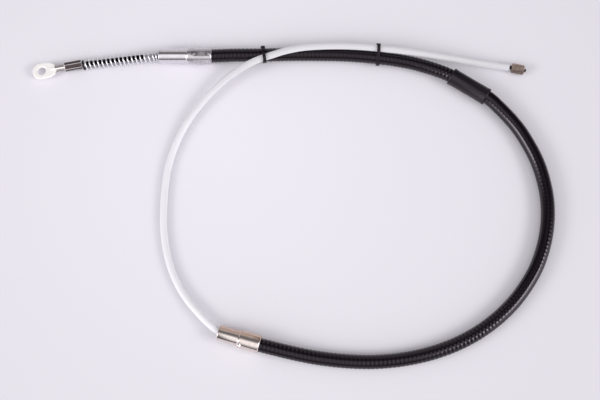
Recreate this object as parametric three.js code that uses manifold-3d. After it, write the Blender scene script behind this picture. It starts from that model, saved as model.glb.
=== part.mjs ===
import * as THREE from 'three';
import { mergeVertices } from 'three/addons/utils/BufferGeometryUtils.js';
import Module from 'manifold-3d';

// Parking brake cable, lying flat in the loop it is delivered in.
// Millimetres, +X right, +Y away, +Z up. The floor is Z = 0.

const wasm = await Module();
wasm.setup();

// Gap left between pieces that touch on the real object
const GAP = 0.3;

// Wire rope and the pieces it runs in, from the inside out
const WIRE_D = 2.8;
const GUARD_D = 3.7;
const GUARD_WALL = 0.35;
const LINER_WALL = 0.5;
const COIL_WALL = 1.1;
const JACKET_D = 11;
const JACKET_WALL = 1.2;
const TUBE_D = 5.5;
const TUBE_WALL = 0.8;

// Fits of the conduit's layers, from the jacket inwards
const COIL_D = JACKET_D - 2 * (JACKET_WALL + GAP);
const LINER_D = COIL_D - 2 * (COIL_WALL + GAP);
const SOCKET_D = JACKET_D + 2 * GAP;

// Both ferrules: a plain spigot, a shoulder and a collar over the conduit
const SPIGOT_D = 12;
const COLLAR_D = 14;
const SHOULDER = 0.9;
const END_CHAMFER = 0.6;
const LIP = 0.7;
const WHEEL_FERRULE = { length: 43.4, spigot: 22.6, socketDepth: 17.9, boreD: 7 };
const LEVER_FERRULE = { length: 33.1, spigot: 16.4, socketDepth: 14.5, boreD: 9.2, boreDepth: 15.2 };
const WIRE_HOLE_D = 4.2;
const CRIMP_FLATS = { count: 6, start: 29.4, length: 12.3, depth: 0.4, firstAngle: 98 };
const DENT = { radius: 4.2, depth: 0.8, angle: 134 };

// Eye, its shank and the hexagonal crimp sleeve; distances run from the sleeve's wire end to the eye
const EYE_HOLE_D = 7;
const EYE_THICKNESS = 2.6;
const EYE_BEVEL = 0.5;
const EYE_AT = 33;
// Half of the eye's outline from its tip to its neck, measured from the hole's centre
const EYE_OUTLINE = [
  [7.3, 0], [6.9, 2.5], [5.3, 4.9], [2.8, 6.3], [-0.4, 6.7], [-3.8, 6.5],
  [-6.8, 6], [-9, 5.1], [-10.8, 3.6], [-12, 2],
];
// Taper that blends the shank into the eye: distance past the neck, and radius
const NECK_AT = EYE_AT - 11;
const NECK_TAPER = [[2.5, 1.8], [5.5, 0.9], [5.5, 0]];
const SHANK_D = 4.6;
const SHANK_START = 8.6;
const SHANK_CHAMFER = 0.3;
const CRIMP = { length: 14.4, acrossFlats: 6.4, bevel: 0.4, wireDepth: 8 };

// Return spring: free length comes from the gap between the crimp sleeve and the ferrule
const SPRING = { wireD: 1.2, outerD: 8.5, pitch: 3.45, closedPitch: 1.35, endGap: 0.4 };
const SPRING_SAG = [0.1, -0.95, -0.25];

// Small pieces
const RUBBER = { outerD: 14.2, length: 33.5, chamfer: 0.7 };
const NIPPLE = { diameter: 8, length: 10.3, chamfer: 0.6 };
const NIPPLE_GAP = 1.9;
const WIRE_STICKOUT = 1.5;
const GUARD_START = 3.8;
const GUARD_LENGTH = 46.7;
const TIE = { strap: 0.9, width: 2.5, gap: 0.4, headLong: 4.8, headWide: 3.6, headHigh: 2.8, tail: 1.3 };

// Where the rigid pieces lie: a point on the axis, and the axis turned from +X about +Z in degrees
const WHEEL = { at: [-106.1, 122.1, 7], yaw: 0 };
const LEVER = { at: [-53.1, -104.7, 7], yaw: -16.3 };
const SLEEVE = { at: [145.6, 95.3, 7.1], yaw: -32.9 };
const END = { at: [181.3, 112.9, 4.2], yaw: -12.5 };
const EYE = { at: [-168.7, 116, 4.5], yaw: 191.2 };
const WIRE_MOUTH = [-106.1, 122.9, 7];

// Moves the whole part so that its box stands centred on the origin, on the floor
const FRAME_OFFSET = [-0.24, 0.3, 0.03];

// Section sides and spacing of the rings along the long pieces
const SIDES = {
  jacket: 12, coil: 10, liner: 8, wire: 8, tube: 10, spring: 6, guard: 12, shank: 20, turned: 28,
};
const CONDUIT_RINGS = 58;
const TUBE_RINGS = 46;
const SPRING_RINGS_PER_TURN = 12;

// Conduit centreline between the two ferrules, read off the photograph and laid on the floor
const CONDUIT_ROUTE = [
  [-47, 122.7, 7], [-34, 122.9, 6.9], [-21, 123, 6.9], [-6, 123.5, 6.6], [9, 123.8, 6.3],
  [25, 123.8, 6.1], [41.5, 123.5, 6.1], [58, 122.3, 6.5], [72.5, 120.6, 6.9], [88.5, 118.3, 6.8],
  [100.5, 115.8, 6.8], [112, 112.4, 6.9], [121.5, 109, 7], [130.6, 105, 7.1], [145.6, 95.3, 7.1],
  [160.6, 85.6, 7.1], [169.5, 77, 6.6], [180.7, 64, 5.8], [187.5, 53.5, 5.5], [197.5, 31.5, 5.5],
  [202.6, 8, 5.5], [203.1, -10, 5.5], [200.4, -28.5, 5.5], [194.5, -47, 5.5], [186.7, -62.2, 5.5],
  [172.3, -81.3, 5.5], [154.8, -97.1, 5.5], [135.1, -109.5, 5.5], [113.8, -118.3, 5.5],
  [91.6, -123.8, 5.5], [69, -126.4, 5.5], [46.4, -126.2, 5.5], [23.9, -123.8, 5.5],
  [12.8, -121.9, 5.7], [1.7, -119.6, 6.2], [-9.3, -117, 6.8],
];

// Guide tube centreline from the lever ferrule's mouth, over the conduit, to the end nipple
const TUBE_ROUTE = [
  [-60.3, -97.9, 6.4], [-68, -90, 5.5], [-77, -79.5, 4.5], [-85, -67, 3.5], [-91.4, -52.5, 3],
  [-95.8, -35.5, 2.8], [-97.9, -19, 2.8], [-98.2, -3, 2.8], [-97.5, 13, 2.8], [-95.6, 28.5, 2.9],
  [-91.6, 43, 3.3], [-85.7, 57.5, 4], [-77.8, 71.3, 5], [-68.3, 84, 6.2], [-58.5, 94.6, 7.6],
  [-48.8, 103, 9.2], [-39, 109.6, 10.8], [-29.6, 114.4, 12.4], [-20.7, 117.6, 13.8],
  [-13.4, 119.6, 14.8], [-5.6, 122.1, 15.4], [8.8, 125.6, 15], [25, 127.3, 14.4],
  [41.4, 127.8, 14], [57.6, 127.2, 13.9], [72.4, 125.8, 14], [90, 124.1, 13.4],
  [106.3, 122.4, 11.6], [122.7, 120.4, 9.6], [139.1, 118.2, 7.8], [155.5, 116, 6.1],
  [164, 115, 5.2], [172.5, 114.1, 4.4],
];

// Guide tube centreline as it leaves the lever ferrule's bore: distance along the axis, and to the side
const TUBE_SEAT = 1;
const TUBE_EXIT = [[10, 0], [6, 0.15], [3, 0.55], [0, 1.25], [-4.5, 2.7]];

// Wire centreline inside the wheel ferrule, from its mouth to its middle
const WIRE_ENTRY = [[8, 1.2], [14, 0.9], [20, 0.3]];

// Where the two ties hold, as places along the X axis of the conduit's top run
const TIE_1 = { x: -20.6, lean: 8, slack: 0.4, headPlace: 0.35 };
const TIE_2 = { x: 72.4, lean: -3, slack: 0.1, headPlace: 0.65 };

const material = (color, roughness, metalness) =>
  new THREE.MeshStandardMaterial({ color, roughness, metalness });
const ZINC = material(0xc9c8cc, 0.3, 1);
const NICKEL = material(0xc4b4a8, 0.3, 1);
const EYE_STEEL = material(0xdedcd8, 0.35, 1);
const CRIMP_STEEL = material(0x5a4f50, 0.45, 0.9);
const NIPPLE_STEEL = material(0x857468, 0.45, 0.9);
const SPRING_STEEL = material(0xd2d0d6, 0.35, 1);
const ROPE_STEEL = material(0x8f8d92, 0.45, 1);
const COIL_STEEL = material(0x8a8c90, 0.45, 1);
const BLACK_PLASTIC = material(0x17151a, 0.4, 0);
const WHITE_PLASTIC = material(0xeceaf2, 0.35, 0);
const LINER_PLASTIC = material(0xe4e2dc, 0.4, 0);
const BLACK_RUBBER = material(0x232124, 0.8, 0);
const TIE_PLASTIC = material(0x2b292c, 0.5, 0);

const vector = ([x, y, z]) => new THREE.Vector3(x, y, z);

// Turns a closed geometry's faces outwards and drops what a solid does not need
function solid(geometry) {
  const bare = geometry.clone();
  bare.deleteAttribute('normal');
  bare.deleteAttribute('uv');
  const merged = mergeVertices(bare, 1e-5);
  const p = merged.attributes.position;
  const index = merged.index.array;
  const [a, b, c] = [new THREE.Vector3(), new THREE.Vector3(), new THREE.Vector3()];
  let volume = 0;
  for (let i = 0; i < index.length; i += 3) {
    a.fromBufferAttribute(p, index[i]);
    b.fromBufferAttribute(p, index[i + 1]);
    c.fromBufferAttribute(p, index[i + 2]);
    volume += a.dot(b.cross(c));
  }
  if (volume < 0) {
    for (let i = 0; i < index.length; i += 3) {
      [index[i + 1], index[i + 2]] = [index[i + 2], index[i + 1]];
    }
  }
  merged.computeVertexNormals();
  return merged;
}

function toManifold(geometry) {
  const closed = solid(geometry);
  return new wasm.Manifold(new wasm.Mesh({
    numProp: 3,
    vertProperties: new Float32Array(closed.attributes.position.array),
    triVerts: new Uint32Array(closed.index.array),
  }));
}

function fromManifold(shape) {
  const mesh = shape.getMesh();
  const geometry = new THREE.BufferGeometry();
  geometry.setAttribute('position', new THREE.BufferAttribute(mesh.vertProperties, 3));
  geometry.setIndex(new THREE.BufferAttribute(mesh.triVerts, 1));
  return geometry;
}

// A profile of [distance along the axis, radius] pairs spun about the +X axis
function turned(profile, sides = SIDES.turned) {
  const points = profile.map(([along, radius]) => new THREE.Vector2(radius, along));
  return new THREE.LatheGeometry(points, sides).rotateZ(-Math.PI / 2);
}

const cylinder = (from, to, diameter) =>
  turned([[from, 0], [from, diameter / 2], [to, diameter / 2], [to, 0]]);

// The same point of the profile again closes a hollow profile
const hollow = (profile) => turned([...profile, profile[0]]);

const placement = ({ at, yaw }) =>
  new THREE.Matrix4().makeRotationZ(THREE.MathUtils.degToRad(yaw)).setPosition(vector(at));

// A point on a placed piece's axis, with an offset square to it if asked
const station = (place, along, side = 0) =>
  new THREE.Vector3(along, side, 0).applyMatrix4(placement(place)).toArray();

// Points at even spacing along a smooth curve through the route
function laidOut(route, rings) {
  const curve = new THREE.CatmullRomCurve3(route.map(vector), false, 'centripetal');
  curve.arcLengthDivisions = 2000;
  return curve.getSpacedPoints(rings);
}

// Round rod or tube with one ring of vertices at each point, and flat ends
function sweep(points, outerD, innerD, sides) {
  const positions = [];
  const index = [];
  const hollowInside = innerD > 0;
  const normal = new THREE.Vector3(0, 0, 1);
  const ring = (centre, diameter, along) => {
    const across = along.clone().cross(normal);
    for (let j = 0; j < sides; j += 1) {
      const angle = (j / sides) * 2 * Math.PI;
      const point = centre.clone();
      point.addScaledVector(normal, Math.cos(angle) * diameter / 2);
      point.addScaledVector(across, Math.sin(angle) * diameter / 2);
      positions.push(point.x, point.y, point.z);
    }
  };
  points.forEach((centre, i) => {
    const before = points[Math.max(i - 1, 0)];
    const after = points[Math.min(i + 1, points.length - 1)];
    const along = after.clone().sub(before).normalize();
    normal.addScaledVector(along, -normal.dot(along)).normalize();
    ring(centre, outerD, along);
    if (hollowInside) ring(centre, innerD, along);
  });
  const stride = hollowInside ? 2 * sides : sides;
  const outer = (i, j) => i * stride + (j % sides);
  const inner = (i, j) => outer(i, j) + sides;
  const last = points.length - 1;
  const quad = (a, b, c, d) => index.push(a, b, c, b, d, c);
  for (let i = 0; i < last; i += 1) {
    for (let j = 0; j < sides; j += 1) {
      quad(outer(i, j), outer(i, j + 1), outer(i + 1, j), outer(i + 1, j + 1));
      if (hollowInside) quad(inner(i, j), inner(i + 1, j), inner(i, j + 1), inner(i + 1, j + 1));
    }
  }
  for (let j = 0; j < sides; j += 1) {
    if (hollowInside) {
      quad(outer(0, j), inner(0, j), outer(0, j + 1), inner(0, j + 1));
      quad(outer(last, j), outer(last, j + 1), inner(last, j), inner(last, j + 1));
    } else if (j > 0 && j < sides - 1) {
      index.push(outer(0, 0), outer(0, j + 1), outer(0, j));
      index.push(outer(last, 0), outer(last, j), outer(last, j + 1));
    }
  }
  const geometry = new THREE.BufferGeometry();
  geometry.setAttribute('position', new THREE.Float32BufferAttribute(positions, 3));
  geometry.setIndex(index);
  return geometry;
}

const pipe = (points, diameter, wall, sides) => sweep(points, diameter, diameter - 2 * wall, sides);

// Forged eye: a flat pear-shaped plate that runs into a round shank, lying along +X from the crimp
function eyeTerminal() {
  const [[reach]] = EYE_OUTLINE;
  const mirrored = EYE_OUTLINE.slice(1).reverse().map(([x, y]) => [x, -y]);
  const inset = 1 - EYE_BEVEL / reach;
  const edge = [...EYE_OUTLINE, ...mirrored].map(([x, y]) => new THREE.Vector2(x * inset, y * inset));
  const shape = new THREE.Shape(edge);
  const hole = new THREE.Path();
  hole.absarc(0, 0, EYE_HOLE_D / 2 + EYE_BEVEL, 0, 2 * Math.PI, true);
  shape.holes.push(hole);
  const plate = new THREE.ExtrudeGeometry(shape, {
    depth: EYE_THICKNESS - 2 * EYE_BEVEL,
    bevelThickness: EYE_BEVEL,
    bevelSize: EYE_BEVEL,
    bevelSegments: 2,
    curveSegments: 24,
  });
  plate.translate(EYE_AT, 0, EYE_BEVEL - EYE_THICKNESS / 2);
  const shank = turned([
    [SHANK_START, 0], [SHANK_START, SHANK_D / 2 - SHANK_CHAMFER],
    [SHANK_START + SHANK_CHAMFER, SHANK_D / 2], [NECK_AT, SHANK_D / 2],
    ...NECK_TAPER.map(([past, radius]) => [NECK_AT + past, radius]),
  ], SIDES.shank);
  return fromManifold(toManifold(plate).add(toManifold(shank)));
}

// Hexagonal crimp with an edge upwards, bored for the shank at one end and the wire at the other
function crimpSleeve() {
  const corner = CRIMP.acrossFlats / Math.sqrt(3) - CRIMP.bevel;
  const hexagon = new THREE.Shape();
  for (let i = 0; i < 6; i += 1) {
    const angle = (i * Math.PI) / 3;
    const [x, y] = [corner * Math.cos(angle), corner * Math.sin(angle)];
    if (i === 0) hexagon.moveTo(x, y);
    else hexagon.lineTo(x, y);
  }
  const body = new THREE.ExtrudeGeometry(hexagon, {
    depth: CRIMP.length - 2 * CRIMP.bevel,
    bevelThickness: CRIMP.bevel,
    bevelSize: CRIMP.bevel,
    bevelSegments: 1,
  });
  body.translate(0, 0, CRIMP.bevel);
  body.rotateY(Math.PI / 2);
  const wireBore = cylinder(-1, SHANK_START, WIRE_D + 2 * GAP);
  const shankBore = cylinder(SHANK_START - GAP, CRIMP.length + 1, SHANK_D + 2 * GAP);
  return fromManifold(toManifold(body).subtract(toManifold(wireBore)).subtract(toManifold(shankBore)));
}

// Outer profile shared by the ferrules: mouth chamfer, spigot, shoulder, collar and rolled lip
function ferruleProfile({ length, spigot, boreD }) {
  return [
    [0, boreD / 2], [0, SPIGOT_D / 2 - END_CHAMFER], [END_CHAMFER, SPIGOT_D / 2],
    [spigot, SPIGOT_D / 2], [spigot + SHOULDER, COLLAR_D / 2],
    [length - LIP, COLLAR_D / 2], [length, COLLAR_D / 2 - LIP],
    [length, SOCKET_D / 2],
  ];
}

function wheelFerrule() {
  const { length, socketDepth, boreD } = WHEEL_FERRULE;
  const bottom = length - socketDepth;
  const body = hollow([...ferruleProfile(WHEEL_FERRULE), [bottom, SOCKET_D / 2], [bottom, boreD / 2]]);
  const flat = CRIMP_FLATS;
  let shape = toManifold(body);
  for (let i = 0; i < flat.count; i += 1) {
    const press = new THREE.BoxGeometry(flat.length, COLLAR_D, 2);
    press.translate(flat.start + flat.length / 2, 0, COLLAR_D / 2 - flat.depth + 1);
    const angle = flat.firstAngle - 90 + (i * 360) / flat.count;
    press.rotateX(THREE.MathUtils.degToRad(angle));
    shape = shape.subtract(toManifold(press));
  }
  return fromManifold(shape);
}

function leverFerrule() {
  const { length, spigot, socketDepth, boreD, boreDepth } = LEVER_FERRULE;
  const bottom = length - socketDepth;
  const body = hollow([
    ...ferruleProfile(LEVER_FERRULE), [bottom, SOCKET_D / 2], [bottom, WIRE_HOLE_D / 2],
    [boreDepth, WIRE_HOLE_D / 2], [boreDepth, boreD / 2],
  ]);
  const dent = new THREE.SphereGeometry(DENT.radius, 16, 12);
  const reach = COLLAR_D / 2 + DENT.radius - DENT.depth;
  dent.translate(spigot + SHOULDER, reach, 0);
  dent.rotateX(THREE.MathUtils.degToRad(DENT.angle));
  return fromManifold(toManifold(body).subtract(toManifold(dent)));
}

// The wire's straight line from the crimp sleeve to the ferrule's mouth
const springStart = vector(EYE.at);
const springLine = vector(WIRE_MOUTH).sub(springStart);
const alongWire = (distance) =>
  springStart.clone().addScaledVector(springLine.clone().normalize(), distance);

// Coil spring: closed turns at both ends, open turns between, shifted off the wire as it sags
function returnSpring() {
  const length = springLine.length() - 2 * SPRING.endGap - SPRING.wireD;
  const openTurns = (length - 2 * SPRING.closedPitch) / SPRING.pitch;
  const turns = openTurns + 2;
  const radius = (SPRING.outerD - SPRING.wireD) / 2;
  const axis = springLine.clone().normalize();
  const side = new THREE.Vector3(0, 0, 1).cross(axis).normalize();
  const up = axis.clone().cross(side);
  const rings = Math.round(turns * SPRING_RINGS_PER_TURN);
  const points = [];
  for (let i = 0; i <= rings; i += 1) {
    const turn = (turns * i) / rings;
    const opened = Math.min(Math.max(turn - 1, 0), openTurns);
    const advance = turn * SPRING.closedPitch + opened * (SPRING.pitch - SPRING.closedPitch);
    const point = alongWire(SPRING.endGap + SPRING.wireD / 2 + advance).add(vector(SPRING_SAG));
    point.addScaledVector(side, radius * Math.cos(turn * 2 * Math.PI));
    point.addScaledVector(up, radius * Math.sin(turn * 2 * Math.PI));
    points.push(point);
  }
  return sweep(points, SPRING.wireD, 0, SIDES.spring);
}

function rubberSleeve() {
  const { outerD, length, chamfer } = RUBBER;
  const half = length / 2;
  return hollow([
    [-half, SOCKET_D / 2], [-half, outerD / 2 - chamfer], [-half + chamfer, outerD / 2],
    [half - chamfer, outerD / 2], [half, outerD / 2 - chamfer], [half, SOCKET_D / 2],
  ]);
}

function endNipple() {
  const { diameter, length, chamfer } = NIPPLE;
  const bore = WIRE_D / 2 + GAP;
  return hollow([
    [0, bore], [0, diameter / 2 - chamfer], [chamfer, diameter / 2],
    [length - chamfer, diameter / 2], [length, diameter / 2 - chamfer], [length, bore],
  ]);
}

// Outline round two circles in the tie's plane, centred on the conduit and the tube
function strapOutline(tubeAt, big, small) {
  const bearing = tubeAt.angle();
  const spread = Math.acos((big - small) / tubeAt.length());
  const arc = (centre, radius, from, to) => {
    const steps = 12;
    return Array.from({ length: steps + 1 }, (_, i) => {
      const angle = from + ((to - from) * i) / steps;
      return new THREE.Vector2(centre.x + radius * Math.cos(angle), centre.y + radius * Math.sin(angle));
    });
  };
  const origin = new THREE.Vector2(0, 0);
  return [
    ...arc(tubeAt, small, bearing - spread, bearing + spread),
    ...arc(origin, big, bearing + spread, bearing - spread + 2 * Math.PI),
  ];
}

// Cable tie in its own plane: strap loop, and a locking head with the cut tail on its far side
function cableTie(tubeAt, { slack, headPlace }) {
  const big = JACKET_D / 2 + TIE.gap;
  const small = TUBE_D / 2 + TIE.gap + slack;
  const inner = strapOutline(tubeAt, big, small);
  const outer = strapOutline(tubeAt, big + TIE.strap, small + TIE.strap);
  const loop = new THREE.Shape(outer);
  loop.holes.push(new THREE.Path(inner));
  const strap = new THREE.ExtrudeGeometry(loop, { depth: TIE.width, bevelEnabled: false });
  strap.translate(0, 0, -TIE.width / 2);
  const normalAngle = tubeAt.angle() - Math.acos((big - small) / tubeAt.length());
  const normal = new THREE.Vector2(Math.cos(normalAngle), Math.sin(normalAngle));
  const atConduit = normal.clone().multiplyScalar(big);
  const atTube = tubeAt.clone().addScaledVector(normal, small);
  const middle = atConduit.lerp(atTube, headPlace).addScaledVector(normal, TIE.headHigh / 2);
  const head = new THREE.BoxGeometry(TIE.headHigh, TIE.headLong, TIE.headWide);
  const tail = new THREE.BoxGeometry(TIE.strap, TIE.tail + 1, TIE.width);
  tail.translate((TIE.headHigh - TIE.strap) / 2 - TIE.gap, (TIE.headLong + TIE.tail - 1) / -2, 0);
  const block = toManifold(head).add(toManifold(tail));
  const placed = fromManifold(block).rotateZ(normalAngle).translate(middle.x, middle.y, 0);
  return fromManifold(toManifold(strap).add(toManifold(placed)));
}

// Stands a tie's plane across the conduit at the given place, with a small lean about +Z
function placedTie(tie, conduit, tube) {
  const crossing = (line) => {
    const i = line.findIndex((point) => point.x > tie.x);
    const t = (tie.x - line[i - 1].x) / (line[i].x - line[i - 1].x);
    return line[i - 1].clone().lerp(line[i], t);
  };
  const centre = crossing(conduit);
  const offset = crossing(tube).sub(centre);
  const geometry = cableTie(new THREE.Vector2(offset.y, offset.z), tie);
  geometry.rotateX(Math.PI / 2).rotateZ(Math.PI / 2);
  geometry.rotateZ(THREE.MathUtils.degToRad(tie.lean));
  return geometry.translate(centre.x, centre.y, centre.z);
}

// Centrelines of the conduit, the guide tube and the wire through them
const conduitStart = WHEEL_FERRULE.length - WHEEL_FERRULE.socketDepth + GAP;
const conduitEnd = LEVER_FERRULE.length - LEVER_FERRULE.socketDepth + GAP;
const conduitLine = laidOut([
  station(WHEEL, conduitStart),
  station(WHEEL, WHEEL_FERRULE.length - WHEEL_FERRULE.socketDepth / 2),
  station(WHEEL, WHEEL_FERRULE.length),
  ...CONDUIT_ROUTE,
  station(LEVER, LEVER_FERRULE.length),
  station(LEVER, LEVER_FERRULE.length - LEVER_FERRULE.socketDepth / 2),
  station(LEVER, conduitEnd),
], CONDUIT_RINGS);
const tubeLine = laidOut([
  station(LEVER, LEVER_FERRULE.boreDepth - TUBE_SEAT),
  ...TUBE_EXIT.map(([along, side]) => station(LEVER, along, side)),
  ...TUBE_ROUTE,
  station(END, -NIPPLE_GAP),
], TUBE_RINGS);
const wireLine = [
  vector(station(EYE, CRIMP.wireDepth)),
  vector(station(EYE, CRIMP.wireDepth / 2)),
  springStart.clone(),
  alongWire(GUARD_START),
  alongWire(GUARD_START + GUARD_LENGTH),
  vector(WIRE_MOUTH),
  ...WIRE_ENTRY.map(([along, side]) => vector(station(WHEEL, along, side))),
  ...conduitLine,
  ...tubeLine,
  vector(station(END, 0)),
  vector(station(END, NIPPLE.length + WIRE_STICKOUT)),
];
const guardLine = [alongWire(GUARD_START), alongWire(GUARD_START + GUARD_LENGTH)];

const group = new THREE.Group();
group.name = 'parking_brake_cable';
group.position.set(...FRAME_OFFSET);

function add(name, geometry, look, place) {
  const mesh = new THREE.Mesh(solid(geometry), look);
  mesh.name = name;
  if (place) mesh.applyMatrix4(placement(place));
  group.add(mesh);
}

add('eye_terminal', eyeTerminal(), EYE_STEEL, EYE);
add('crimp_sleeve', crimpSleeve(), CRIMP_STEEL, EYE);
add('wire_guard_sleeve', pipe(guardLine, GUARD_D, GUARD_WALL, SIDES.guard), BLACK_PLASTIC);
add('return_spring', returnSpring(), SPRING_STEEL);
add('inner_wire', sweep(wireLine, WIRE_D, 0, SIDES.wire), ROPE_STEEL);
add('wheel_end_ferrule', wheelFerrule(), ZINC, WHEEL);
add('conduit_jacket', pipe(conduitLine, JACKET_D, JACKET_WALL, SIDES.jacket), BLACK_PLASTIC);
add('conduit_coil', pipe(conduitLine, COIL_D, COIL_WALL, SIDES.coil), COIL_STEEL);
add('conduit_liner', pipe(conduitLine, LINER_D, LINER_WALL, SIDES.liner), LINER_PLASTIC);
add('rubber_sleeve', rubberSleeve(), BLACK_RUBBER, SLEEVE);
add('lever_end_ferrule', leverFerrule(), NICKEL, LEVER);
add('guide_tube', pipe(tubeLine, TUBE_D, TUBE_WALL, SIDES.tube), WHITE_PLASTIC);
add('end_nipple', endNipple(), NIPPLE_STEEL, END);
add('cable_tie_1', placedTie(TIE_1, conduitLine, tubeLine), TIE_PLASTIC);
add('cable_tie_2', placedTie(TIE_2, conduitLine, tubeLine), TIE_PLASTIC);

export default group;
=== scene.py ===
import math

import bmesh
import bpy
from mathutils import Matrix, Vector
from mathutils.geometry import interpolate_bezier


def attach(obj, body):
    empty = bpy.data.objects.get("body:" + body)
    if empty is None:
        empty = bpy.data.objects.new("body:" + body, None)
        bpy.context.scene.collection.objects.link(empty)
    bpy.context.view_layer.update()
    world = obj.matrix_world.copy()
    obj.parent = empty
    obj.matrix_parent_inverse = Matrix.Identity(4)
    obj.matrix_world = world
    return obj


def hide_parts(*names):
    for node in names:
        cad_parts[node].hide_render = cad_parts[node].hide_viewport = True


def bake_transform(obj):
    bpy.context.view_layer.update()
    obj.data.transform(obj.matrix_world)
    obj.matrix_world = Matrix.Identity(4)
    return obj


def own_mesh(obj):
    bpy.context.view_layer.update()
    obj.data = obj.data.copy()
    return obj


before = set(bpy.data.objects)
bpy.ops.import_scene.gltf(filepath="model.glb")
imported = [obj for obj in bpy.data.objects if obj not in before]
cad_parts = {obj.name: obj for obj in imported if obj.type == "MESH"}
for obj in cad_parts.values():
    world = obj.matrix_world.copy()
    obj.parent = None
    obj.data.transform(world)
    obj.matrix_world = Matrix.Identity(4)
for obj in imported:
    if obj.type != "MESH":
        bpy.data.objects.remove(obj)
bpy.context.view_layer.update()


# Camera. It stands above the cable on the side of the lower arc and looks down, a little towards
# the tied top run.
camera = bpy.data.objects.new("camera", bpy.data.cameras.new("camera"))
camera.location = (0.00876, -0.2375, 0.83633)
camera.rotation_euler = (math.radians(16), 0, 0)
camera.data.lens = 66
camera.data.sensor_width = 36
bpy.context.scene.collection.objects.link(camera)
bpy.context.scene.camera = camera
bpy.context.scene.view_settings.view_transform = "Standard"


# Conduit. A black plastic skin drawn hot over a coil of flat steel wire, so that each turn of the
# coil shows as a low rib. It lies in one loop, with its two ends held in the ferrules.
TO_BOX_MIDDLE = Vector((-0.00024, 0.0003, 0.00003))
WHEEL_PLACE = ((-0.1061, 0.1221, 0.007), 0.0)
LEVER_PLACE = ((-0.0531, -0.1047, 0.007), math.radians(-16.3))
WHEEL_LENGTH = 0.0434
WHEEL_SOCKET = 0.0179
LEVER_LENGTH = 0.0331
LEVER_SOCKET = 0.0145
FIT_GAP = 0.0003
CONDUIT_D = 0.011
CONDUIT_WALL = 0.0012
RIB_PITCH = 0.0032
RIB_HEIGHT = 0.00029
# One rib: place along its pitch, and how far of the rib's height it stands up
RIB_SHAPE = [
    (0.0, 0.0), (0.08, 0.2), (0.22, 0.56), (0.37, 0.9), (0.5, 1.0), (0.63, 0.9), (0.78, 0.56), (0.92, 0.2),
]
# The ribs are drawn out almost flat in the tight bend: distance from the wheel ferrule, and their share
RIB_SHARES = [
    (0.0, 1.0), (0.22, 1.0), (0.25, 0.1), (0.31, 0.1), (0.36, 0.25), (0.45, 0.3), (0.5, 0.9), (0.8, 1.0),
]
CONDUIT_SIDES = 36
CONDUIT_ROUTE = [
    (-0.0470, 0.1227, 0.0070), (-0.0340, 0.1229, 0.0069), (-0.0210, 0.1230, 0.0069),
    (-0.0060, 0.1235, 0.0066), (0.0090, 0.1238, 0.0063), (0.0250, 0.1238, 0.0061),
    (0.0415, 0.1235, 0.0061), (0.0580, 0.1223, 0.0065), (0.0725, 0.1206, 0.0069),
    (0.0885, 0.1183, 0.0068), (0.1005, 0.1158, 0.0068), (0.1120, 0.1124, 0.0069),
    (0.1215, 0.1090, 0.0070), (0.1306, 0.1050, 0.0071), (0.1456, 0.0953, 0.0071),
    (0.1606, 0.0856, 0.0071), (0.1695, 0.0770, 0.0066), (0.1807, 0.0640, 0.0058),
    (0.1875, 0.0535, 0.0055), (0.1975, 0.0315, 0.0055), (0.2026, 0.0080, 0.0055),
    (0.2031, -0.0100, 0.0055), (0.2004, -0.0285, 0.0055), (0.1945, -0.0470, 0.0055),
    (0.1867, -0.0622, 0.0055), (0.1723, -0.0813, 0.0055), (0.1548, -0.0971, 0.0055),
    (0.1351, -0.1095, 0.0055), (0.1138, -0.1183, 0.0055), (0.0916, -0.1238, 0.0055),
    (0.0690, -0.1264, 0.0055), (0.0464, -0.1262, 0.0055), (0.0239, -0.1238, 0.0055),
    (0.0128, -0.1219, 0.0057), (0.0017, -0.1196, 0.0062), (-0.0093, -0.1170, 0.0068),
]


def placement(place):
    """Where a piece stands that was made along +X: its start on the frame, and its turn about +Z."""
    at, yaw = place
    return Matrix.Translation(Vector(at) + TO_BOX_MIDDLE) @ Matrix.Rotation(yaw, 4, "Z")


def station(place, along, side=0.0):
    """A point on a placed piece's axis, or beside it."""
    return placement(place) @ Vector((along, side, 0))


def on_frame(route):
    return [Vector(point) + TO_BOX_MIDDLE for point in route]


def smooth_line(points, spacing=0.001):
    """Evenly spaced points on the smooth curve that runs through the given ones."""
    ends = [points[0] * 2 - points[1], *points, points[-1] * 2 - points[-2]]
    fine = [points[0]]
    for a, b, c, d in zip(ends, ends[1:], ends[2:], ends[3:]):
        ab, bc, cd = (math.sqrt((q - p).length) for p, q in ((a, b), (b, c), (c, d)))
        leaving = ((b - a) / ab - (c - a) / (ab + bc) + (c - b) / bc) * bc / 3
        arriving = ((c - b) / bc - (d - b) / (bc + cd) + (d - c) / cd) * bc / 3
        fine += interpolate_bezier(b, b + leaving, c - arriving, c, 24)[1:]
    return evenly(fine, spacing)


def evenly(points, spacing):
    """The same line with its points set at one even spacing, near the one asked for."""
    reach = [0.0]
    for p, q in zip(points, points[1:]):
        reach.append(reach[-1] + (q - p).length)
    count = max(round(reach[-1] / spacing), 1)
    line, i = [], 0
    for k in range(count + 1):
        goal = reach[-1] * k / count
        while i < len(points) - 2 and reach[i + 1] < goal:
            i += 1
        line.append(points[i].lerp(points[i + 1], (goal - reach[i]) / (reach[i + 1] - reach[i])))
    return line


def length_of(line):
    return sum((q - p).length for p, q in zip(line, line[1:]))


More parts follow.
